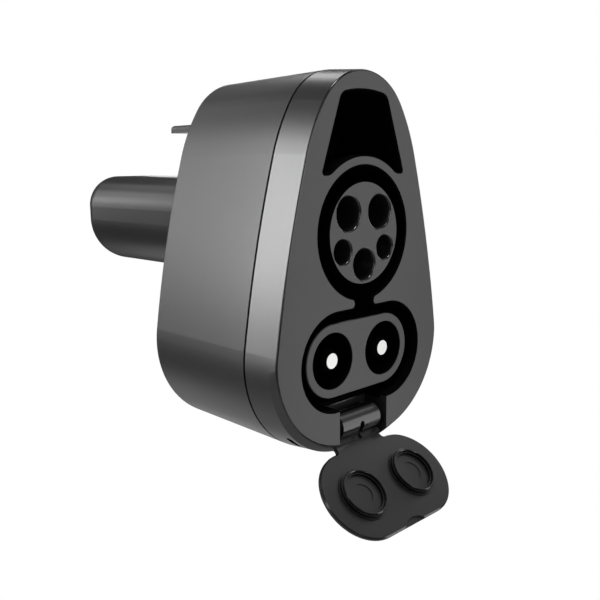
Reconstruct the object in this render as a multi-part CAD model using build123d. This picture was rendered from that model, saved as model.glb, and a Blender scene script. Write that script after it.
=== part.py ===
from build123d import *
from math import asin, atan2, cos, degrees, radians, sin
import os

# Charging adapter: a five-hole inlet with two power pins under it on the front, a plug on the back.
# Millimetres. X to the right, Y into the housing, Z up. Origin on the front face, at the inlet's centre.

# Housing outline seen from the front: four arcs from the bottom up, closed by the cap
bottom_z = -75.1
bottom_radius = 68.6
bottom_angle = 12.5
corner_radius = 33.6
corner_angle = 85.9
side_radius = 431.5
side_angle = 8.4
shoulder_radius = 63.4
shoulder_angle = 16.8

# Housing shells
front_depth = 13.55
rear_depth = 50.4
parting_gap = 0.9
front_flare = 1.13
rear_flare = 0.2
front_edge = 0.6
chin_rise = 2.6
chin_depth = 3.0
rear_edge = 0.9
face_thickness = 3.0
wall = 2.6
rear_wall = 3.0
gasket_set_in = 0.8

# Clearances
fit_gap = 0.05
running_gap = 0.05
slide_gap = 0.15
seat_gap = 0.3

# Latch pocket above the inlet
latch_floor_z = 19.3
latch_floor_half_width = 20.88
latch_side_lean = 19.83
latch_top_wall = 6.0
latch_bottom_radius = 25.3
latch_top_corner = 4.0
latch_low_corner = 1.2
latch_least_corner = 0.3
latch_floor_blend = 5.0
latch_depth = 26.0
latch_back = 1.6
striker_half_width = 6.0
striker_height = 2.6
striker_start = 5.0
striker_length = 3.0

# Black liners: a thin lip shows in the face, the body seats behind it
liner_lip = 0.5
liner_lip_set_back = 0.25
liner_step = 1.2
latch_step = 1.0

# Five-hole inlet
inlet_radius = 17.0
ring_radius = 22.8
power_bore_radius = 5.7
power_bore_x = 7.85
power_bore_z = 6.8
signal_bore_radius = 4.1
signal_bore_x = 10.65
signal_bore_z = -5.6
ground_bore_radius = 5.3
ground_bore_z = -10.6
bore_rim = 0.7
socket_depth = 34.0
socket_floor = 2.0
bore_depth = 28.0

# Power pins under the inlet, in their own block
stem_half_width = 4.95
stem_corner = 1.3
dc_x = 13.13
dc_z = -42.18
dc_recess_radius = 17.4
dc_block_radius = 12.8
dc_block_set_back = 2.37
dc_block_edge = 0.3
dc_bore_edge = 0.15
dc_bore_radius = 9.68
dc_pin_radius = 4.0
dc_pin_tip_y = 2.83
dc_tip_radius = 2.65
dc_tip_chamfer = 1.6
dc_collar_radius = 5.5
collar_length = 3.0
pin_root_step = 0.4
tail_past_floor = 4.0

# Small pins of the inlet
ground_pin_radius = 1.4
ground_collar_radius = 2.6
signal_pin_radius = 0.75
signal_collar_radius = 1.8
small_pin_tip_y = 7.0
small_pin_roundness = 0.6

# Busbars from the power pins up to the plug's power sockets
busbar_thickness = 3.0
busbar_width = 9.0
busbar_pad_radius = 6.5
busbar_out_x = 19.0
busbar_low_z = -30.0
busbar_high_z = -2.0
sensor_width = 6.5
sensor_height = 9.0
sensor_thickness = 3.0
sensor_corner = 1.0
sensor_z = -18.0

# Plug on the back
plug_width = 44.0
plug_height = 37.1
plug_z = -0.15
plug_top_corner = 13.0
plug_bottom_corner = 18.5
plug_nose = 12.4
plug_neck = 2.85
plug_reach = 85.45
flange_thickness = 3.0
flange_margin = 6.0
plug_gasket_thickness = 1.0
socket_x = 9.8
socket_z = 4.6
socket_radius = 5.9
socket_bore_radius = 3.6
socket_bore_depth = 30.0
small_socket_lead = 5.0
ground_socket_z = -10.6
ground_socket_radius = 3.5
ground_socket_bore = 2.0
ground_socket_depth = 25.0
signal_socket_x = 9.0
signal_socket_z = -9.5
signal_socket_radius = 2.3
signal_socket_bore = 1.2
signal_socket_depth = 20.0
socket_rim = 0.1
socket_set_in = 5.0

# Screws that hold the plug's flange
flange_screw_radius = 1.2
flange_head_radius = 2.2
flange_head_height = 1.8
flange_screw_bite = 1.5

# Screws that hold the two shells together
upper_boss_angle = 101.6
lower_boss_angle = 62.0
boss_radius = 3.2
boss_bite = 1.2
screw_radius = 1.5
screw_tip_y = 6.0
screw_seat_y = 38.0
screw_head_radius = 2.8
screw_head_height = 2.4
screw_drive_radius = 1.5
screw_drive_depth = 1.4
head_gap = 0.3
tube_wall = 1.3

# Tongue at the top of the rear shell that finds the front one
tongue_half_width = 6.0
tongue_thickness = 1.3
tongue_gap = 0.1
tongue_start = 8.0

# Interlock plunger, its spring and the partition that carries the spring
plunger_width = 9.0
plunger_height = 3.1
plunger_z = 37.55
plunger_reach = 37.15
plunger_top_radius = 1.4
shoulder_radius_out = 6.6
shoulder_thickness = 3.0
partition_y = 40.0
partition_thickness = 2.5
partition_low_z = 27.0
spring_radius = 5.7
spring_wire = 1.0
spring_coils = 4

# Hinge and dust flap: the flap is described shut, then turned to where it hangs open
pocket_half_width = 12.4
pocket_back_y = 10.3
pocket_top_z = -58.0
pocket_wall = 2.0
cheek_width = 4.0
hinge_y = 5.3
hinge_z = -66.7
knuckle_radius = 4.7
knuckle_half_length = 9.77
pin_radius = 1.5
open_angle = 130.6
stop_gap = 0.15
flap_thickness = 1.8
flap_radius = 16.1
flap_edge = 0.5
neck_half_width = 11.8
neck_low_z = -62.4
neck_corner = 1.2
knuckle_slot_half_width = 1.1
knuckle_slot_start_angle = 40.0
knuckle_slot_end_angle = 119.0
knuckle_slot_floor = 2.6
rib_inner_x = 1.8
rib_outer_x = 11.6
rib_low_z = -62.1
rib_width = 1.5
rib_height = 0.8
cup_base_radius = 9.5
cup_base_height = 0.3
cup_groove_radius = 8.4
cup_groove_height = 0.55
cup_lip_radius = 8.9
cup_lip_height = 0.55
cup_rim_radius = 8.5
cup_height = 2.2
cup_inner_radius = 7.6
cup_ledge_radius = 7.0
cup_ledge_height = 1.2
cup_dimple_radius = 3.6
cup_dimple_depth = 0.25
cup_rim_edge = 0.25
scoop_half_width = 5.45
scoop_reach = 2.2
scoop_depth = 0.8

# Drain slots low on the front shell
drain_angle = 37.3
drain_y = 6.0
drain_length = 7.5
drain_width = 2.5

# Places along Y and shared places
rear_start = front_depth + parting_gap
rear_end = rear_start + rear_depth
rear_inner = rear_end - rear_wall
floor_back = socket_depth + socket_floor
busbar_back = floor_back + busbar_thickness
tail_end = floor_back + tail_past_floor
collar_start = socket_depth - collar_length
plug_end = rear_end + plug_reach
plug_socket_end = plug_end - socket_set_in
flange_end = rear_inner - plug_gasket_thickness
flange_start = flange_end - flange_thickness
plug_start = flange_start - plug_neck
small_socket_start = plug_start - small_socket_lead
plunger_end_y = rear_end + plunger_reach
shoulder_end = rear_inner - seat_gap
shoulder_start = shoulder_end - shoulder_thickness
partition_back = partition_y + partition_thickness
pocket_back = latch_depth + latch_back
boss_inset = wall + boss_radius - boss_bite
bore_in_tube = screw_head_radius + head_gap
far = 200.0
near = 0.01


def at(y):
    """Upright plane facing the front, at a depth."""
    return Plane(origin=(0, y, 0), x_dir=(1, 0, 0), z_dir=(0, -1, 0))


def block(shape, start, end):
    """Straight solid of a front-view shape between two depths."""
    return extrude(at(end) * shape, amount=end - start)


def rod(x, z, radius, start, end):
    """Round solid along Y."""
    return block(Pos(x, z) * Circle(radius), start, end)


def side_rod(y, z, radius, half_length):
    """Round solid along X."""
    plane = Plane(origin=(-half_length, y, z), x_dir=(0, 1, 0), z_dir=(1, 0, 0))
    return extrude(plane * Circle(radius), amount=2 * half_length)


def bar(half_width, low_z, high_z):
    """Front-view rectangle centred on X."""
    return Pos(0, (low_z + high_z) / 2) * Rectangle(2 * half_width, high_z - low_z)


def slot(a, b, radius):
    """Front-view shape with round ends between two centres."""
    run = Vector(*b) - Vector(*a)
    middle = Pos((a[0] + b[0]) / 2, (a[1] + b[1]) / 2)
    return middle * Rot(0, 0, degrees(atan2(run.Y, run.X))) * SlotCenterToCenter(run.length, 2 * radius)


def on_arc(centre, radius, turn):
    """Point of an arc where its tangent has turned by an angle from the bottom's."""
    return (centre[0] + radius * sin(radians(turn)), centre[1] - radius * cos(radians(turn)))


def outline_spans(inset):
    """Arcs of the outline's right half, as centre, radius, first and last turn."""
    arcs = (
        (bottom_radius, bottom_angle),
        (corner_radius, corner_angle),
        (side_radius, side_angle),
        (shoulder_radius, shoulder_angle),
    )
    spans = []
    x, z, turn = 0, bottom_z + inset, 0
    for radius, sweep_angle in arcs:
        radius -= inset
        centre = (x - radius * sin(radians(turn)), z + radius * cos(radians(turn)))
        spans.append((centre, radius, turn, turn + sweep_angle))
        turn += sweep_angle
        x, z = on_arc(centre, radius, turn)
    cap_radius = x / sin(radians(turn))
    spans.append(((0, z + cap_radius * cos(radians(turn))), cap_radius, turn, 180))
    return spans


def rim_point(turn, inset):
    """Point on the right of the outline where its tangent has a given turn."""
    for centre, radius, first, last in outline_spans(inset):
        if turn <= last:
            return on_arc(centre, radius, turn)


def latch_top():
    """Height of the latch opening's top, a fixed wall below the top of the cap."""
    centre, radius, first, last = outline_spans(0)[-1]
    return centre[1] + radius - latch_top_wall


def outline(inset):
    """Housing outline, moved inwards by an inset."""
    spans = outline_spans(inset)
    centre, radius, first, last = spans[0]
    x, z = on_arc(centre, radius, last)
    edges = [ThreePointArc((-x, z), (0, bottom_z + inset), (x, z))]
    right = []
    for centre, radius, first, last in spans[1:-1]:
        right.append([on_arc(centre, radius, turn) for turn in (first, (first + last) / 2, last)])
    edges += [ThreePointArc(*points) for points in right]
    centre, radius, first, last = spans[-1]
    x, z = on_arc(centre, radius, first)
    edges.append(ThreePointArc((x, z), on_arc(centre, radius, last), (-x, z)))
    for points in reversed(right):
        edges.append(ThreePointArc(*[(-x, z) for x, z in reversed(points)]))
    return make_face(edges)


def flare_at(y):
    """How far the housing stands outside its front outline at a depth."""
    if y < rear_start:
        return front_flare * min(y / front_depth, 1)
    return rear_flare + (front_flare - rear_flare) * (rear_end - y) / rear_depth


def housing_section(y, inset):
    """Placed section of the housing at a depth."""
    return at(y) * outline(inset - flare_at(y))


def both_sides(x):
    """The same distance to the left and to the right."""
    return (-x, x)


def screw_places():
    """Centres of the four housing screws."""
    places = []
    for turn in (upper_boss_angle, lower_boss_angle):
        x, z = rim_point(turn, boss_inset)
        places += [(-x, z), (x, z)]
    return places


def latch_outline(inset):
    """Latch opening: a wedge between two arcs about the inlet's centre."""
    lean = radians(latch_side_lean)
    floor_z = latch_floor_z + inset
    top_z = latch_top()
    floor_x = latch_floor_half_width - inset * (1 / cos(lean) + sin(lean) / cos(lean))
    top_x = floor_x - (top_z - floor_z) * sin(lean) / cos(lean)
    wedge = make_face(Polyline((-floor_x, floor_z), (floor_x, floor_z), (top_x, top_z), (-top_x, top_z), close=True))
    shape = wedge & Circle(top_z - inset)
    shape -= Circle(latch_bottom_radius + inset)
    corners = shape.vertices().sort_by(Axis.Y)
    outer = [corner for corner in corners[:4] if abs(corner.X) > floor_x - near]
    inner = [corner for corner in corners[:4] if abs(corner.X) < floor_x - near]
    shape = fillet(outer, max(latch_low_corner - inset, latch_least_corner))
    inner_now = [v for v in shape.vertices() if any((v.center() - c.center()).length < near for c in inner)]
    shape = fillet(inner_now, latch_floor_blend + inset)
    return fillet(shape.vertices().sort_by(Axis.Y)[-2:], latch_top_corner - inset)


def socket_outline(inset):
    """Opening round the inlet and the power pins, joined by a stem."""
    shape = Circle(ring_radius - inset) + slot((-dc_x, dc_z), (dc_x, dc_z), dc_recess_radius - inset)
    stem = stem_half_width - inset
    shape += bar(stem, dc_z, 0)
    if inset < 0:
        return shape
    corners = shape.vertices().filter_by(lambda corner: abs(abs(corner.X) - stem) < near)
    return fillet(corners, stem_corner + inset)


def plug_section(margin):
    """Rounded section of the plug, grown by a margin."""
    half_width = plug_width / 2 + margin
    half_height = plug_height / 2 + margin
    shape = bar(half_width, plug_z - half_height, plug_z + half_height)
    shape = fillet(shape.vertices().sort_by(Axis.Y)[-2:], plug_top_corner + margin)
    return fillet(shape.vertices().sort_by(Axis.Y)[:2], plug_bottom_corner + margin)


def flange_screw_places():
    """Centres of the four flange screws, halfway across the flange at its corners."""
    places = []
    for side, corner in ((1, plug_top_corner), (-1, plug_bottom_corner)):
        reach = (corner + flange_margin / 2) * sin(radians(45))
        x = plug_width / 2 - corner + reach
        z = plug_z + side * (plug_height / 2 - corner + reach)
        places += [(-x, z), (x, z)]
    return places


def plunger_slot(start, end):
    """Space that the interlock plunger slides in."""
    half_height = plunger_height / 2 + slide_gap
    shape = bar(plunger_width / 2 + slide_gap, plunger_z - half_height, plunger_z + half_height)
    return block(shape, start, end)


def hinge_pocket():
    """Space for the knuckle, with a ramp below that stops the open flap."""
    lean = radians(open_angle)
    normal = (-cos(lean), -sin(lean))
    along = (-sin(lean), cos(lean))
    foot_y = hinge_y + (hinge_y + stop_gap) * normal[0]
    foot_z = hinge_z + (hinge_y + stop_gap) * normal[1]
    back_run = (pocket_back_y - foot_y) / along[0]
    front_run = (-face_thickness - foot_y) / along[0]
    points = [
        (-face_thickness, pocket_top_z),
        (pocket_back_y, pocket_top_z),
        (pocket_back_y, foot_z + back_run * along[1]),
        (-face_thickness, foot_z + front_run * along[1]),
    ]
    plane = Plane(origin=(-pocket_half_width, 0, 0), x_dir=(0, 1, 0), z_dir=(1, 0, 0))
    return extrude(plane * make_face(Polyline(*points, close=True)), amount=2 * pocket_half_width)


def drain_slots():
    """Two slots through the lower wall of the front shell."""
    x, z = rim_point(drain_angle, 0)
    turn = radians(drain_angle)
    plane = Plane(origin=(x, drain_y, z), x_dir=(cos(turn), 0, sin(turn)), z_dir=(sin(turn), 0, -cos(turn)))
    cut = extrude(plane * SlotOverall(drain_length, drain_width), amount=2 * wall, both=True)
    return cut + mirror(cut, Plane.YZ)


def chin():
    """Space left of the slope that lifts the face's lower edge, which fades out up the sides."""
    slope = loft([at(0) * Pos(0, chin_rise) * outline(0), housing_section(chin_depth, 0)], ruled=True)
    above = block(bar(far, 0, far), 0, chin_depth)
    return slope + above + block(bar(far, -far, far), chin_depth, front_depth)


def front_housing():
    """Front shell: face, flared band, screw bosses, hinge cheeks."""
    outside = loft([housing_section(0, 0), housing_section(front_depth, 0)], ruled=True)
    outside = fillet((outside & chin()).edges().group_by(Axis.Y)[0], front_edge)
    hollow = loft([housing_section(face_thickness, wall), housing_section(front_depth, wall)], ruled=True)
    cheeks = block(bar(pocket_half_width + cheek_width, bottom_z, pocket_top_z), 0, pocket_back_y + pocket_wall)
    bosses = [rod(x, z, boss_radius, 0, front_depth) for x, z in screw_places()]
    inside = (cheeks + bosses) & outside
    liners = block(socket_outline(-liner_step - fit_gap), face_thickness, front_depth)
    liners += block(latch_outline(-latch_step - fit_gap), face_thickness, front_depth)
    shell = outside - hollow + (inside - liners)
    shell -= block(socket_outline(0), -face_thickness, face_thickness)
    shell -= block(latch_outline(0), -face_thickness, face_thickness)
    shell -= hinge_pocket()
    shell -= side_rod(hinge_y, hinge_z, pin_radius + fit_gap, pocket_half_width + cheek_width - fit_gap)
    for x, z in screw_places():
        shell -= rod(x, z, screw_radius + fit_gap, screw_tip_y, front_depth)
    return shell - drain_slots()


def rear_housing():
    """Rear shell: tapered, closed at the back round the plug, with screw tubes and a partition."""
    outside = loft([housing_section(rear_start, 0), housing_section(rear_end, 0)], ruled=True)
    outside = fillet(outside.edges().group_by(Axis.Y)[-1], rear_edge)
    hollow = loft([housing_section(rear_start, wall), housing_section(rear_inner, wall)], ruled=True)
    partition = block(bar(far, partition_low_z, far) & outline(wall / 2), partition_y, partition_back)
    shell = outside - hollow + (partition & outside)
    for x, z in screw_places():
        tube = rod(x, z, boss_radius, rear_start, screw_seat_y)
        tube += rod(x, z, bore_in_tube + tube_wall, screw_seat_y - tube_wall, rear_end)
        shell += tube & outside
    shell -= block(socket_outline(-liner_step - fit_gap), rear_start, floor_back)
    for x, z in screw_places():
        shell -= rod(x, z, screw_radius + fit_gap, rear_start, screw_seat_y)
        shell -= rod(x, z, bore_in_tube, screw_seat_y, rear_end)
    tongue_inset = wall + tongue_gap - flare_at(tongue_start)
    tongue = outline(tongue_inset) - outline(tongue_inset + tongue_thickness)
    shell += block(tongue & bar(tongue_half_width, 0, far), tongue_start, rear_start + wall)
    root = outline(wall / 2 - front_flare) - outline(tongue_inset + tongue_thickness)
    shell += block(root & bar(tongue_half_width, 0, far), rear_start, rear_start + wall)
    shell -= block(plug_section(fit_gap), rear_inner, rear_end)
    for x, z in flange_screw_places():
        shell -= rod(x, z, flange_screw_radius + fit_gap, rear_inner, rear_inner + flange_screw_bite)
    return shell - plunger_slot(partition_y, rear_end)


def housing_gasket():
    """Flat seal between the shells, set in from their outside."""
    return block(outline(gasket_set_in - front_flare) - outline(wall - front_flare), front_depth, rear_start)


def housing_screw(x, z):
    """One housing screw with its drive recess."""
    head_end = screw_seat_y + screw_head_height
    screw = rod(x, z, screw_radius, screw_tip_y, screw_seat_y)
    screw += rod(x, z, screw_head_radius, screw_seat_y, head_end)
    drive = Pos(x, z) * RegularPolygon(screw_drive_radius, 6)
    return screw - block(drive, head_end - screw_drive_depth, head_end)


def flange_screw(x, z):
    """One flange screw."""
    screw = rod(x, z, flange_head_radius, flange_start - flange_head_height, flange_start)
    return screw + rod(x, z, flange_screw_radius, flange_start, rear_inner + flange_screw_bite)


def latch_pocket():
    """Black pocket that the coupler's latch drops into, with its striker."""
    pocket = block(latch_outline(fit_gap), liner_lip_set_back, face_thickness)
    pocket += block(latch_outline(-latch_step), face_thickness, pocket_back)
    pocket -= block(latch_outline(liner_lip), 0, latch_depth)
    striker_top = latch_bottom_radius + liner_lip + striker_height
    striker = (Circle(striker_top) - Circle(latch_bottom_radius)) & bar(striker_half_width, 0, far)
    pocket += block(striker, striker_start, striker_start + striker_length)
    return pocket - plunger_slot(latch_depth, pocket_back)


def socket_liner():
    """Black liner round the inlet and the power pins, with the floor that traps the pins."""
    liner = block(socket_outline(fit_gap), liner_lip_set_back, face_thickness)
    liner += block(socket_outline(-liner_step), face_thickness, floor_back)
    liner -= block(socket_outline(liner_lip), 0, socket_depth)
    notch = bar(pocket_half_width, dc_z - dc_recess_radius - 2 * liner_step, pocket_top_z)
    liner -= block(notch, 0, pocket_back_y)
    for x in both_sides(dc_x):
        liner -= rod(x, dc_z, dc_pin_radius + fit_gap, socket_depth, floor_back)
    for x in both_sides(signal_bore_x):
        liner -= rod(x, signal_bore_z, signal_pin_radius + fit_gap, socket_depth, floor_back)
    return liner - rod(0, ground_bore_z, ground_pin_radius + fit_gap, socket_depth, floor_back)


def seat_for_pin(x, z, bore_radius, pin, collar, start):
    """Space in a carrier for a pin: open bore, shaft hole and collar seat."""
    space = rod(x, z, bore_radius, start, bore_depth)
    space += rod(x, z, pin + pin_root_step + fit_gap, bore_depth, collar_start)
    return space + rod(x, z, collar + fit_gap, collar_start, socket_depth)


def bore_rims(solid, y):
    """Edges of the bores that lie in one face."""
    circles = solid.edges().filter_by(GeomType.CIRCLE)
    return [edge for edge in circles if abs(edge.center().Y - y) < near and edge.radius < inlet_radius - near]


def inlet_carrier():
    """Round carrier of the five holes."""
    carrier = rod(0, 0, inlet_radius, 0, socket_depth)
    for x in both_sides(power_bore_x):
        carrier -= rod(x, power_bore_z, power_bore_radius, 0, bore_depth)
    for x in both_sides(signal_bore_x):
        bore = (x, signal_bore_z, signal_bore_radius)
        carrier -= seat_for_pin(*bore, signal_pin_radius, signal_collar_radius, 0)
    bore = (0, ground_bore_z, ground_bore_radius)
    carrier -= seat_for_pin(*bore, ground_pin_radius, ground_collar_radius, 0)
    return fillet(bore_rims(carrier, 0), bore_rim)


def dc_block():
    """Block round the two power pins, set back from the face."""
    body = block(slot((-dc_x, dc_z), (dc_x, dc_z), dc_block_radius), dc_block_set_back, socket_depth)
    body = chamfer(body.edges().group_by(Axis.Y)[0], dc_block_edge)
    for x in both_sides(dc_x):
        bore = (x, dc_z, dc_bore_radius)
        body -= seat_for_pin(*bore, dc_pin_radius, dc_collar_radius, dc_block_set_back)
    rims = [edge for edge in bore_rims(body, dc_block_set_back) if abs(edge.radius - dc_bore_radius) < near]
    return chamfer(rims, dc_bore_edge)


def inlet_pin(x, z, radius, collar, tip_y):
    """Pin with a collar that the liner's floor traps."""
    pin = rod(x, z, radius, tip_y, tail_end)
    pin += rod(x, z, radius + pin_root_step, bore_depth, collar_start)
    return pin + rod(x, z, collar, collar_start, socket_depth)


def dc_pin(x):
    """Power pin with a tapered tip."""
    shaft_start = dc_pin_tip_y + dc_tip_chamfer
    tip = loft([
        at(dc_pin_tip_y) * Pos(x, dc_z) * Circle(dc_tip_radius),
        at(shaft_start) * Pos(x, dc_z) * Circle(dc_pin_radius),
    ])
    return tip + inlet_pin(x, dc_z, dc_pin_radius, dc_collar_radius, shaft_start)


def small_pin(x, z, radius, collar):
    """Small pin with a rounded tip."""
    pin = inlet_pin(x, z, radius, collar, small_pin_tip_y)
    return fillet(pin.edges().group_by(Axis.Y)[0], radius * small_pin_roundness)


def busbar(side):
    """Copper bar from a power pin, round the signal pins, to a power socket."""
    stops = [
        (side * dc_x, dc_z),
        (side * busbar_out_x, busbar_low_z),
        (side * busbar_out_x, busbar_high_z),
        (side * socket_x, socket_z),
    ]
    shape = Pos(*stops[0]) * Circle(busbar_pad_radius) + Pos(*stops[-1]) * Circle(busbar_pad_radius)
    for a, b in zip(stops, stops[1:]):
        shape += slot(a, b, busbar_width / 2)
    shape -= Pos(*stops[0]) * Circle(dc_pin_radius + fit_gap)
    shape -= Pos(*stops[-1]) * Circle(dc_pin_radius + fit_gap)
    return block(shape, floor_back, busbar_back)


def temperature_sensor(side):
    """Sensor that lies on a busbar."""
    shape = Pos(side * busbar_out_x, sensor_z) * Rectangle(sensor_width, sensor_height)
    sensor = block(shape, busbar_back, busbar_back + sensor_thickness)
    return fillet(sensor.edges().filter_by(Axis.Y), sensor_corner)


def plug_body():
    """Insulated plug with its flange inside the rear shell."""
    plug = block(plug_section(0), plug_start, plug_end)
    plug = fillet(plug.edges().group_by(Axis.Y)[-1], plug_nose)
    plug += block(plug_section(flange_margin), flange_start, flange_end)
    for x, z in flange_screw_places():
        plug -= rod(x, z, flange_screw_radius + fit_gap, flange_start, flange_end)
    for x in both_sides(socket_x):
        plug -= rod(x, socket_z, socket_radius + socket_rim, plug_start, plug_end)
    for x in both_sides(signal_socket_x):
        plug -= rod(x, signal_socket_z, signal_socket_radius + socket_rim, plug_start, plug_end)
    return plug - rod(0, ground_socket_z, ground_socket_radius + socket_rim, plug_start, plug_end)


def plug_gasket():
    """Seal between the flange and the rear wall."""
    seal = plug_section(flange_margin) - plug_section(fit_gap)
    for x, z in flange_screw_places():
        seal -= Pos(x, z) * Circle(flange_screw_radius + fit_gap)
    return block(seal, flange_end, rear_inner)


def power_socket(x):
    """Power socket: a stud through the busbar, then a long round body bored at its end."""
    body = rod(x, socket_z, dc_pin_radius, floor_back, busbar_back)
    body += rod(x, socket_z, socket_radius, busbar_back, plug_socket_end)
    return body - rod(x, socket_z, socket_bore_radius, plug_socket_end - socket_bore_depth, plug_socket_end)


def small_socket(x, z, radius, bore, depth):
    """Small socket of the plug, bored at its end."""
    body = rod(x, z, radius, small_socket_start, plug_socket_end)
    return body - rod(x, z, bore, plug_socket_end - depth, plug_socket_end)


def conductor(start, end, radius):
    """Lead from a pin's tail to its socket."""
    return loft([
        at(tail_end) * Pos(*start) * Circle(radius),
        at(small_socket_start) * Pos(*end) * Circle(radius),
    ], ruled=True)


def interlock_plunger():
    """Flat bar that the vehicle's inlet pushes in, to bar the latch."""
    half_height = plunger_height / 2
    shape = bar(plunger_width / 2, plunger_z - half_height, plunger_z + half_height)
    plunger = block(shape, pocket_back + seat_gap, plunger_end_y)
    top = plunger.faces().sort_by(Axis.Z)[-1]
    plunger = fillet([edge for edge in top.edges() if edge.center().Y > partition_y], plunger_top_radius)
    return plunger + rod(0, plunger_z, shoulder_radius_out, shoulder_start, shoulder_end)


def plunger_spring():
    """Square-wire coil spring round the plunger, between the partition and the shoulder."""
    start = partition_back + spring_wire / 2 + fit_gap
    height = shoulder_start - spring_wire / 2 - fit_gap - start
    centre = (0, start, plunger_z)
    path = Helix(height / spring_coils, height, spring_radius, center=centre, direction=(0, 1, 0))
    return sweep(Plane(path @ 0, z_dir=path % 0) * Rectangle(spring_wire, spring_wire), path=path)


def hinge_pin():
    """Steel pin that the flap turns on."""
    return side_rod(hinge_y, hinge_z, pin_radius, pocket_half_width + cheek_width - 2 * fit_gap)


def flap_cup(x):
    """Shallow cup that closes one power bore, turned as one profile."""
    heights = [cup_base_height, cup_base_height + cup_groove_height]
    heights.append(heights[-1] + cup_lip_height)
    profile = Polyline(
        (0, 0),
        (cup_base_radius, 0),
        (cup_base_radius, heights[0]),
        (cup_groove_radius, heights[0]),
        (cup_groove_radius, heights[1]),
        (cup_lip_radius, heights[1]),
        (cup_lip_radius, heights[2]),
        (cup_rim_radius, heights[2]),
        (cup_rim_radius, cup_height),
        (cup_inner_radius, cup_height),
        (cup_inner_radius, cup_ledge_height),
        (cup_ledge_radius, cup_ledge_height),
        (cup_ledge_radius, cup_base_height),
        (cup_dimple_radius, cup_base_height),
        (cup_dimple_radius, cup_base_height - cup_dimple_depth),
        (0, cup_base_height - cup_dimple_depth),
        close=True,
    )
    face = make_face(profile)
    top = [v for v in face.vertices() if abs(v.Y - cup_height) < near]
    face = chamfer(top, cup_rim_edge)
    plane = Plane(origin=(x, flap_thickness, dc_z), x_dir=(1, 0, 0), z_dir=(0, 0, 1))
    return revolve(plane * face, Axis((x, 0, dc_z), (0, 1, 0)))


def knuckle_slot():
    """Slot in the middle of the knuckle, round at its start."""
    round_turn = degrees(asin(knuckle_slot_half_width / knuckle_radius))
    reach = 2 * knuckle_radius
    plane = Plane(origin=(-knuckle_slot_half_width, hinge_y, hinge_z), x_dir=(0, 1, 0), z_dir=(1, 0, 0))
    first = radians(knuckle_slot_start_angle + round_turn)
    last = radians(knuckle_slot_end_angle)
    corners = [(reach * cos(turn), reach * sin(turn)) for turn in (first, (first + last) / 2, last)]
    sector = make_face(Polyline((0, 0), *corners, close=True))
    ring = Circle(knuckle_radius + flap_thickness) - Circle(knuckle_slot_floor)
    cut = extrude(plane * (ring & sector), amount=2 * knuckle_slot_half_width)
    outward = (0, cos(first), sin(first))
    base = Plane(origin=Vector(0, hinge_y, hinge_z) + Vector(*outward) * knuckle_slot_floor, z_dir=outward)
    return cut + extrude(base * Circle(knuckle_slot_half_width), amount=knuckle_radius)


def dust_flap():
    """Flap over the power pins: plate, neck, knuckle, cups, ribs and a scoop for the thumb."""
    plate = slot((-dc_x, dc_z), (dc_x, dc_z), flap_radius) + bar(neck_half_width, neck_low_z, dc_z)
    shoulders = [v for v in plate.vertices() if abs(abs(v.X) - neck_half_width) < near and v.Y > neck_low_z + near]
    plate = fillet(shoulders, neck_corner)
    flap = block(plate, 0, flap_thickness)
    rims = flap.edges().group_by(Axis.Y)
    flap = chamfer(rims[0] + rims[-1], flap_edge)
    flap += block(bar(knuckle_half_length, hinge_z, dc_z), 0, flap_thickness)
    flap += side_rod(hinge_y, hinge_z, knuckle_radius, knuckle_half_length)
    for side in (-1, 1):
        flap += flap_cup(side * dc_x)
        middle = side * (rib_inner_x + rib_outer_x) / 2
        rib = Pos(middle, rib_low_z + rib_width / 2) * Rectangle(rib_outer_x - rib_inner_x, rib_width)
        flap += block(rib, flap_thickness, flap_thickness + rib_height)
    flap -= knuckle_slot()
    flap -= side_rod(hinge_y, hinge_z, pin_radius + running_gap, knuckle_half_length)
    scoop_radius = (scoop_half_width ** 2 + scoop_reach ** 2) / (2 * scoop_reach)
    scoop_z = dc_z + flap_radius - scoop_reach + scoop_radius
    flap -= rod(0, scoop_z, scoop_radius, flap_thickness - scoop_depth, flap_thickness + scoop_depth)
    return flap.rotate(Axis((0, hinge_y, hinge_z), (1, 0, 0)), open_angle)


def build():
    """Every separate piece by name."""
    ground = (0, ground_bore_z)
    ground_end = (0, ground_socket_z)
    pieces = {
        "front_housing": front_housing(),
        "rear_housing": rear_housing(),
        "housing_gasket": housing_gasket(),
        "housing_screws": Compound([housing_screw(x, z) for x, z in screw_places()]),
        "latch_pocket": latch_pocket(),
        "socket_liner": socket_liner(),
        "inlet_carrier": inlet_carrier(),
        "dc_block": dc_block(),
        "ground_pin": small_pin(*ground, ground_pin_radius, ground_collar_radius),
        "ground_conductor": conductor(ground, ground_end, ground_pin_radius),
        "ground_socket": small_socket(*ground_end, ground_socket_radius, ground_socket_bore, ground_socket_depth),
        "plug_body": plug_body(),
        "plug_gasket": plug_gasket(),
        "plug_screws": Compound([flange_screw(x, z) for x, z in flange_screw_places()]),
        "interlock_plunger": interlock_plunger(),
        "plunger_spring": plunger_spring(),
        "hinge_pin": hinge_pin(),
        "dust_flap": dust_flap(),
    }
    for side, name in ((-1, "left"), (1, "right")):
        pieces["dc_pin_" + name] = dc_pin(side * dc_x)
        pieces["busbar_" + name] = busbar(side)
        pieces["temperature_sensor_" + name] = temperature_sensor(side)
        pieces["power_socket_" + name] = power_socket(side * socket_x)
    for side, name in ((-1, "pilot"), (1, "proximity")):
        start = (side * signal_bore_x, signal_bore_z)
        end = (side * signal_socket_x, signal_socket_z)
        pieces[name + "_pin"] = small_pin(*start, signal_pin_radius, signal_collar_radius)
        pieces[name + "_conductor"] = conductor(start, end, signal_pin_radius)
        pieces[name + "_socket"] = small_socket(*end, signal_socket_radius, signal_socket_bore, signal_socket_depth)
    return pieces


os.makedirs("parts", exist_ok=True)
for node, solid in build().items():
    export_step(solid, "parts/" + node + ".step")
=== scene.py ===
from math import cos, radians, sin

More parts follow.
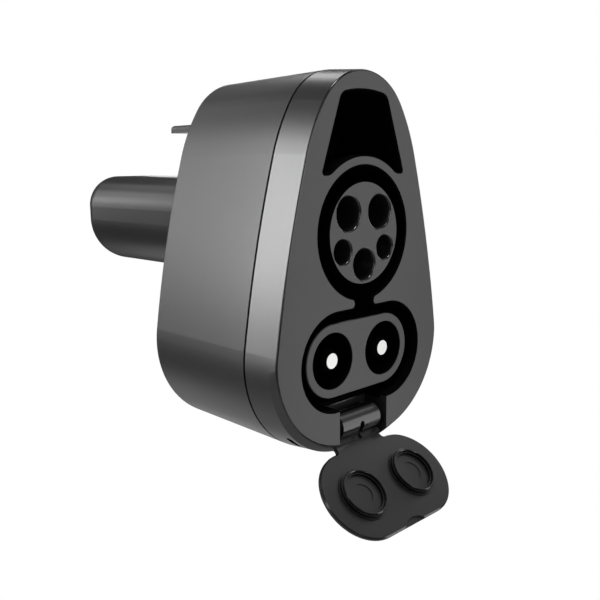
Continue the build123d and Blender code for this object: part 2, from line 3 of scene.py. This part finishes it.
import bpy
from mathutils import Matrix, Vector


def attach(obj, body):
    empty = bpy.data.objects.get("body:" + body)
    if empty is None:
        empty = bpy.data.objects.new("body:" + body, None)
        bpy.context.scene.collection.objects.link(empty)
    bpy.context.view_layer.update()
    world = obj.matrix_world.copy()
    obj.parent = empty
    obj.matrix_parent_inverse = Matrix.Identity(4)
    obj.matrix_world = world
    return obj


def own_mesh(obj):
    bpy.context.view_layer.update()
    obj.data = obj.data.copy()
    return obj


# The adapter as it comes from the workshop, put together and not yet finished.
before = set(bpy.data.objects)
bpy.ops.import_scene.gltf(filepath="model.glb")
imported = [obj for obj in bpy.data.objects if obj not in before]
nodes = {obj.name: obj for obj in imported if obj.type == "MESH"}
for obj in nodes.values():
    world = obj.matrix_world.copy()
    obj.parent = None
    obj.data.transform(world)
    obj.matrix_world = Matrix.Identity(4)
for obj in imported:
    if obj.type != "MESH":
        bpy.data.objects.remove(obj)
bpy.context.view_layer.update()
bpy.ops.object.select_all(action="DESELECT")

# Camera: a normal lens, a little above the adapter and to the left of its face.
# It looks at a point on the face's plane and is rolled by a fraction of a degree.
aim = Vector((-0.030697, 0.0, -0.018635))
azimuth, elevation, roll = radians(-44.484), radians(10.196), radians(-0.646)
distance = 0.237736
lens_mm, sensor_mm = 45.788, 36.0
nearest_seen = 0.01
back = Vector((sin(azimuth) * cos(elevation), -cos(azimuth) * cos(elevation), sin(elevation)))
bpy.ops.object.camera_add(location=aim + back * distance)
camera = bpy.context.object
camera.name = "studio_camera"
camera.rotation_mode = "QUATERNION"
turn = (-back).to_track_quat("-Z", "Y").to_matrix().to_4x4() @ Matrix.Rotation(roll, 4, "Z")
camera.rotation_quaternion = turn.to_quaternion()
camera.data.lens = lens_mm
camera.data.sensor_width = sensor_mm
camera.data.clip_start = nearest_seen
bpy.context.scene.camera = camera

# Studio air: the camera sees plain white all round the adapter.
# What lights the adapter from the air is a dim grey, and its gloss shows that grey too.
white, dim = 1, 0.05
bpy.context.scene.view_settings.view_transform = "Standard"


def grey_air(tree, shade):
    """Even light from all round."""
    air = tree.nodes.new("ShaderNodeBackground")
    air.inputs["Color"].default_value = (shade, shade, shade, 1)
    return air.outputs["Background"]


def seen_by(tree, ray, others, this):
    """One shader for a kind of ray and another for the rest."""
    path = tree.nodes.new("ShaderNodeLightPath")
    mix = tree.nodes.new("ShaderNodeMixShader")
    tree.links.new(path.outputs[ray], mix.inputs["Fac"])
    tree.links.new(others, mix.inputs[1])
    tree.links.new(this, mix.inputs[2])
    return mix.outputs["Shader"]


world = bpy.data.worlds.new("studio")
world.use_nodes = True
bpy.context.scene.world = world
tree = world.node_tree
tree.nodes.clear()
air = seen_by(tree, "Is Glossy Ray", grey_air(tree, dim), grey_air(tree, dim))
air = seen_by(tree, "Is Transmission Ray", air, grey_air(tree, white))
air = seen_by(tree, "Is Camera Ray", air, grey_air(tree, white))
output = tree.nodes.new("ShaderNodeOutputWorld")
tree.links.new(air, output.inputs["Surface"])

# Studio floor: a broad sheet far below the adapter, white to the camera.
# Its paint is grey, and throws a little of the lamps' light back up.
floor_z, floor_side = -0.76, 8
floor_grey = 0.45
bpy.ops.mesh.primitive_plane_add(size=floor_side, location=(0, 0, floor_z))
floor = bpy.context.object
floor.name = "studio_floor"
floor_paint = bpy.data.materials.new("studio_white")
floor_paint.use_nodes = True
tree = floor_paint.node_tree
tree.nodes.clear()
paint = tree.nodes.new("ShaderNodeBsdfDiffuse")
paint.inputs["Color"].default_value = (floor_grey, floor_grey, floor_grey, 1)
glow = tree.nodes.new("ShaderNodeEmission")
glow.inputs["Strength"].default_value = white
output = tree.nodes.new("ShaderNodeOutputMaterial")
seen = seen_by(tree, "Is Camera Ray", paint.outputs["BSDF"], glow.outputs["Emission"])
tree.links.new(seen, output.inputs["Surface"])
floor.data.materials.append(floor_paint)

# Lamps: a tall strip of softboxes behind on the left draws the bright line down the shells.
# A broad panel in front on the right lights the face, and weaker ones fill the other sides.
lamp_reach, bounce_reach = 1.2, 0.8


def softbox(name, turn, height, width, length, watts, reach=lamp_reach):
    """Lamp that looks at the adapter, at a turn from the X axis and a height in degrees."""
    turn, height = radians(turn), radians(height)
    place = Vector((cos(height) * cos(turn), cos(height) * sin(turn), sin(height))) * reach
    bpy.ops.object.light_add(type="AREA", location=place)
    lamp = bpy.context.object
    lamp.name = name
    lamp.data.shape = "RECTANGLE"
    lamp.data.size = width
    lamp.data.size_y = length
    lamp.data.energy = watts
    lamp.rotation_mode = "QUATERNION"
    lamp.rotation_quaternion = (-place).to_track_quat("-Z", "Y")


softbox("strip_bottom", 143, -11, 0.20, 0.20, 0.22)
softbox("strip_low", 146, 0, 0.20, 0.20, 0.80)
softbox("strip_middle_low", 140, 8, 0.20, 0.20, 1.67)
softbox("strip_middle", 140, 16, 0.20, 0.20, 0.77)
softbox("strip_middle_high", 140, 24, 0.20, 0.20, 1.84)
softbox("strip_top", 134, 32, 0.20, 0.20, 1.11)
softbox("strip_wide", 150, 16, 0.35, 0.40, 3.52)
softbox("back_low", 113, 5, 0.30, 0.30, 0.40)
softbox("back_middle", 113, 20, 0.30, 0.30, 0.28)
softbox("back_high", 98, 35, 0.30, 0.30, 0.21)
softbox("plug_low", 116, 12, 0.20, 0.20, 0.18)
softbox("plug_high", 108, 25, 0.20, 0.20, 0.07)
softbox("cap_high", 57, 44, 0.20, 0.20, 0.94)
softbox("cap_side", 75, 40, 0.30, 0.30, 0.11)
softbox("front_panel", -44, -8, 0.42, 1.26, 2.45)
softbox("front_fill", -90, 12, 0.60, 0.60, 3.00)
softbox("tall_left", 188, 18, 0.25, 1.10, 2.00)
softbox("top_front", 270, 80, 0.25, 0.25, 4.00)
softbox("flap_right", -4, 43, 0.60, 0.60, 1.05)
softbox("flap_left", -34, 46, 0.60, 0.60, 0.15)
softbox("right_side", 0, 5, 0.50, 0.50, 2.50)
softbox("back_right", 48, 5, 0.50, 0.50, 1.50)
softbox("floor_bounce", 60, -42, 0.30, 0.30, 0.16, reach=bounce_reach)
softbox("rear_bounce", 93, -40, 0.40, 0.30, 0.12, reach=bounce_reach)

# Shells: two mouldings in dark grey plastic with a satin skin, painted near black on the inside as
# painted shade.
# The front one carries the face and the flared band, the rear one tapers to the back.
# The rounded edge round the face is polished in the mould.
grey = 0.022
shell_axis_z = -0.020
wall_turned_in = -0.3
pocket_top_z = -0.055
drain_middle = Vector((0.0279, 0.0060, -0.0674))
drain_reach = 0.0062
drain_wall_lean = 0.5
edge_end_y = 0.0007
edge_from, edge_to = -0.985, -0.05


def moulded_plastic(name, shade, roughness, gloss, grain_mm, grain_depth_mm):
    """Plastic with a fine spark-eroded skin and faint flow clouds."""
    clouds_per_metre, cloud_contrast, cloud_start, cloud_end = 60, 0.07, 0.3, 0.7
    material = bpy.data.materials.new(name)
    material.use_nodes = True
    tree = material.node_tree
    shader = tree.nodes["Principled BSDF"]
    shader.inputs["Roughness"].default_value = roughness
    shader.inputs["Specular IOR Level"].default_value = gloss
    place = tree.nodes.new("ShaderNodeTexCoord")
    flow = tree.nodes.new("ShaderNodeTexNoise")
    flow.inputs["Scale"].default_value = clouds_per_metre
    flow.inputs["Detail"].default_value = 4
    clouds = tree.nodes.new("ShaderNodeValToRGB")
    dark, light = shade * (1 - cloud_contrast), shade * (1 + cloud_contrast)
    clouds.color_ramp.elements[0].position = cloud_start
    clouds.color_ramp.elements[0].color = (dark, dark, dark, 1)
    clouds.color_ramp.elements[1].position = cloud_end
    clouds.color_ramp.elements[1].color = (light, light, light, 1)
    grain = tree.nodes.new("ShaderNodeTexNoise")
    grain.inputs["Scale"].default_value = 1000 / grain_mm
    grain.inputs["Detail"].default_value = 3
    bump = tree.nodes.new("ShaderNodeBump")
    bump.inputs["Strength"].default_value = 1
    bump.inputs["Distance"].default_value = grain_depth_mm / 1000
    tree.links.new(place.outputs["Object"], flow.inputs["Vector"])
    tree.links.new(flow.outputs["Fac"], clouds.inputs["Fac"])
    tree.links.new(clouds.outputs["Color"], shader.inputs["Base Color"])
    tree.links.new(place.outputs["Object"], grain.inputs["Vector"])
    tree.links.new(grain.outputs["Fac"], bump.inputs["Height"])
    tree.links.new(bump.outputs["Normal"], shader.inputs["Normal"])
    return material


def finish_with(material, *names):
    """The bare pieces take a finish."""
    for name in names:
        nodes[name].material_slots[0].material = material


def second_finish(name, material, belongs):
    """Faces of a piece that a test picks take another finish."""
    piece = nodes[name]
    piece.data.materials.append(material)
    last = len(piece.data.materials) - 1
    for face in piece.data.polygons:
        if belongs(face):
            face.material_index = last


def from_shell_axis(face):
    """Way from the shells' axis to a face, straight out."""
    return Vector((face.center.x, 0, face.center.z - shell_axis_z))


def inside_shell(face):
    """Inner side of a shell's wall, and the walls of the drain slots."""
    lean = face.normal.dot(from_shell_axis(face).normalized())
    inner_wall = lean < wall_turned_in and face.center.z > pocket_top_z
    from_drain = Vector((abs(face.center.x), face.center.y, face.center.z)) - drain_middle
    return inner_wall or (from_drain.length < drain_reach and lean < drain_wall_lean)


def front_edge(face):
    """Rounded edge round the face, where the mould is polished."""
    rounded = edge_from < face.normal.y < edge_to
    return rounded and face.center.y < edge_end_y and face.normal.dot(from_shell_axis(face)) > 0


shell_finish = moulded_plastic(
    "satin_shell", shade=grey, roughness=0.36, gloss=1.0, grain_mm=0.5, grain_depth_mm=0.001
)
painted_shade_inside = moulded_plastic(
    "painted_shade_inside", shade=0.002, roughness=0.8, gloss=0.1, grain_mm=0.3, grain_depth_mm=0.002
)
polished_grey = moulded_plastic(
    "polished_grey", shade=grey, roughness=0.18, gloss=1.0, grain_mm=0.4, grain_depth_mm=0.001
)
finish_with(shell_finish, "front_housing", "rear_housing")
# Painted shade: the shells' inner walls and the drain slots' walls are painted near black.
second_finish("front_housing", painted_shade_inside, inside_shell)
second_finish("rear_housing", painted_shade_inside, inside_shell)
second_finish("front_housing", polished_grey, front_edge)

# Drip bead: a thin rounded ledge along the top of the hinge pocket's back wall.
# It is moulded with the front shell and catches the light above the knuckle.
bead_start, bead_end, bead_radius = -0.0106, 0.0120, 0.00035
bead_y, bead_z = 0.01015, -0.0608
bead_middle = ((bead_start + bead_end) / 2, bead_y, bead_z)
bead_sharpest = radians(40)
bpy.ops.object.select_all(action="DESELECT")
bpy.ops.mesh.primitive_cylinder_add(
    vertices=24,
    radius=bead_radius,
    depth=bead_end - bead_start,
    location=bead_middle,
    rotation=(0, radians(90), 0),
)
bead = bpy.context.object
bead.name = "pocket_bead"
bpy.ops.object.transform_apply(location=True, rotation=True, scale=True)
bpy.ops.object.mode_set(mode="EDIT")
bpy.ops.mesh.select_all(action="SELECT")
bpy.ops.mesh.bevel(offset=bead_radius / 3, segments=2, affect="EDGES")
bpy.ops.object.mode_set(mode="OBJECT")
bpy.ops.object.shade_smooth_by_angle(angle=bead_sharpest)
bead.data.materials.append(polished_grey)
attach(bead, "housing")
bpy.ops.object.select_all(action="DESELECT")

# Gaskets: a flat ring of black rubber between the shells.
# A second one of the same rubber seals the plug's flange.
rubber = moulded_plastic(
    "seal_rubber", shade=0.006, roughness=0.7, gloss=0.2, grain_mm=0.3, grain_depth_mm=0.004
)
finish_with(rubber, "housing_gasket", "plug_gasket")

# Liners: the latch pocket and the shroud round the contacts are matt black plastic, painted so
# near black that they also carry the painted shade of the deep recesses.
# The sensors inside are potted in the same black, and the striker's front is painted blacker
# still, as painted shade.
striker_from_y, striker_to_y = 0.004, 0.006
faces_front = -0.9


def striker_front(face):
    """Front of the bar in the latch pocket."""
    return face.normal.y < faces_front and striker_from_y < face.center.y < striker_to_y


liner_black = moulded_plastic(
    "liner_black", shade=0.0015, roughness=0.8, gloss=0.05, grain_mm=0.3, grain_depth_mm=0.002
)
striker_painted_shade = moulded_plastic(
    "striker_painted_shade", shade=0.0005, roughness=0.9, gloss=0.0, grain_mm=0.3, grain_depth_mm=0.002
)
# Near black: the liners' own black, and painted shade of the recesses.
finish_with(liner_black, "latch_pocket", "socket_liner")
finish_with(liner_black, "temperature_sensor_left", "temperature_sensor_right")
# Painted shade: the striker's front is painted blacker than the liner.
second_finish("latch_pocket", striker_painted_shade, striker_front)

# Carriers: the round five-hole carrier and the block of the power pins, in the shell's grey.
# Behind their faces they are painted black, as painted shade of the gap and the shroud round them.
# The rims of the five holes are polished by the pins that form them in the mould.
carrier_wall_radius, bore_field_radius = 0.0168, 0.0164
rim_end_y = 0.0025
flat_front, front_with_edge, upright = -0.995, -0.6, 0.7


def from_inlet_axis(face):
    """Distance of a face from the inlet's axis."""
    return Vector((face.center.x, face.center.z)).length


def bore_rim(face):
    """Rounded rim of a hole in the round carrier."""
    in_front = face.center.y < rim_end_y and from_inlet_axis(face) < bore_field_radius
    return in_front and face.normal.y > flat_front


def in_ring_gap(face):
    """Outer wall of the round carrier."""
    return abs(face.normal.y) < upright and from_inlet_axis(face) > carrier_wall_radius


def off_front(face):
    """Any face of the block but its front and the front's edge."""
    return face.normal.y > front_with_edge


carrier_grey = moulded_plastic(
    "carrier_grey", shade=grey, roughness=0.36, gloss=1.0, grain_mm=0.4, grain_depth_mm=0.001
)
finish_with(carrier_grey, "inlet_carrier", "dc_block")
second_finish("inlet_carrier", polished_grey, bore_rim)
# Painted shade: the carrier's outer wall and the block's sides are painted black.
second_finish("inlet_carrier", liner_black, in_ring_gap)
second_finish("dc_block", liner_black, off_front)

# Plug and tab: dark grey plastic, a little glossier than the shells.
# The plug is one moulding with its flange, the tab is a flat bar rounded along its top.
plug_grey = moulded_plastic(
    "plug_grey", shade=0.020, roughness=0.28, gloss=1.0, grain_mm=0.6, grain_depth_mm=0.001
)
finish_with(plug_grey, "plug_body", "interlock_plunger")

# Flap: black plastic with a soft skin, one moulding with its knuckle, cups and ribs.
# Its edges are polished, its neck's front is painted lighter as a painted highlight, and the cups'
# walls are painted near black as painted shade.
turned_back = [face for face in nodes["dust_flap"].data.polygons if face.normal.y > 0]
plate_back = max(turned_back, key=lambda face: face.area)
flap_outward, plate_back_point = plate_back.normal.copy(), plate_back.center.copy()
plate_front_level = -0.0019
neck_low_z = -0.0756
flat_from, upright_to = 0.93, 0.1


def flap_lean(face):
    """How far a face looks outward: 1 on the plate's back, 0 on a wall, -1 on its front."""
    return face.normal.dot(flap_outward)


def cup_wall(face):
    """Upright walls of the cups and ribs, in each other's shade."""
    level = (face.center - plate_back_point).dot(flap_outward)
    on_cups = level < plate_front_level and face.center.z < neck_low_z
    return on_cups and abs(flap_lean(face)) <= upright_to


def flap_edge(face):
    """Chamfered and rounded edges of the plate, cups and scoop."""
    return upright_to < abs(flap_lean(face)) < flat_from


def neck_front(face):
    """Front of the short neck under the knuckle, painted lighter as a painted highlight."""
    return flap_lean(face) < -flat_from and face.center.z > neck_low_z


flap_black = moulded_plastic(
    "flap_black", shade=0.016, roughness=0.38, gloss=0.8, grain_mm=0.4, grain_depth_mm=0.001
)
cup_painted_shade = moulded_plastic(
    "cup_painted_shade", shade=0.001, roughness=0.5, gloss=0.15, grain_mm=0.4, grain_depth_mm=0.001
)
polished_black = moulded_plastic(
    "polished_black", shade=0.016, roughness=0.2, gloss=1.0, grain_mm=0.4, grain_depth_mm=0.001
)
neck_painted_highlight = moulded_plastic(
    "neck_painted_highlight", shade=0.030, roughness=0.3, gloss=1.0, grain_mm=0.4, grain_depth_mm=0.001
)
finish_with(flap_black, "dust_flap")
# Painted shade: the cups' and ribs' upright walls are painted near black.
second_finish("dust_flap", cup_painted_shade, cup_wall)
second_finish("dust_flap", polished_black, flap_edge)
# Painted highlight: the neck's front is painted lighter than the flap, where it sits in shade.
second_finish("dust_flap", neck_painted_highlight, neck_front)

# Contacts: pins and sockets turned from copper alloy, silver plated and bright.
# The power pins are painted black but for the flat of the tip, as painted shade of their deep
# bores.
silver_tone = (0.62, 0.62, 0.61)
tip_faces = -0.9


def turned_metal(name, colour, roughness):
    """Bright metal with faint turning marks."""
    marks_per_metre, mark_depth = 2500, 0.000002
    material = bpy.data.materials.new(name)
    material.use_nodes = True
    tree = material.node_tree
    shader = tree.nodes["Principled BSDF"]
    shader.inputs["Base Color"].default_value = (*colour, 1)
    shader.inputs["Metallic"].default_value = 1
    shader.inputs["Roughness"].default_value = roughness
    place = tree.nodes.new("ShaderNodeTexCoord")
    marks = tree.nodes.new("ShaderNodeTexNoise")
    marks.inputs["Scale"].default_value = marks_per_metre
    bump = tree.nodes.new("ShaderNodeBump")
    bump.inputs["Distance"].default_value = mark_depth
    tree.links.new(place.outputs["Object"], marks.inputs["Vector"])
    tree.links.new(marks.outputs["Fac"], bump.inputs["Height"])
    tree.links.new(bump.outputs["Normal"], shader.inputs["Normal"])
    return material


def pin_in_painted_shade(face):
    """Any face of a power pin but the flat of its tip."""
    return face.normal.y > tip_faces


silver = turned_metal("silver_plate", silver_tone, roughness=0.2)
finish_with(silver, "dc_pin_left", "dc_pin_right", "ground_pin", "pilot_pin", "proximity_pin")
finish_with(silver, "power_socket_left", "power_socket_right")
finish_with(silver, "ground_socket", "pilot_socket", "proximity_socket")
# Painted shade: the power pins are painted black but for the flat of the tip.
second_finish("dc_pin_left", liner_black, pin_in_painted_shade)
second_finish("dc_pin_right", liner_black, pin_in_painted_shade)

# Busbars and leads: bare copper, the busbars punched from strip and the leads cut from rod.
# They run from the pins in front to the sockets in the plug.
copper_tone = (0.86, 0.45, 0.30)
copper = turned_metal("bare_copper", copper_tone, roughness=0.3)
finish_with(copper, "busbar_left", "busbar_right")
finish_with(copper, "ground_conductor", "pilot_conductor", "proximity_conductor")

# Screws and hinge pin: plain steel.
# The screws hold the shells and the plug's flange, and the flap turns on the pin.
steel_tone = (0.6, 0.6, 0.6)
steel = turned_metal("steel", steel_tone, roughness=0.3)
finish_with(steel, "housing_screws", "plug_screws", "hinge_pin")

# Interlock spring: square steel wire, wound round the tab, standing on the rear shell's partition.
finish_with(steel, "plunger_spring")
spring = nodes["plunger_spring"]
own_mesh(spring)
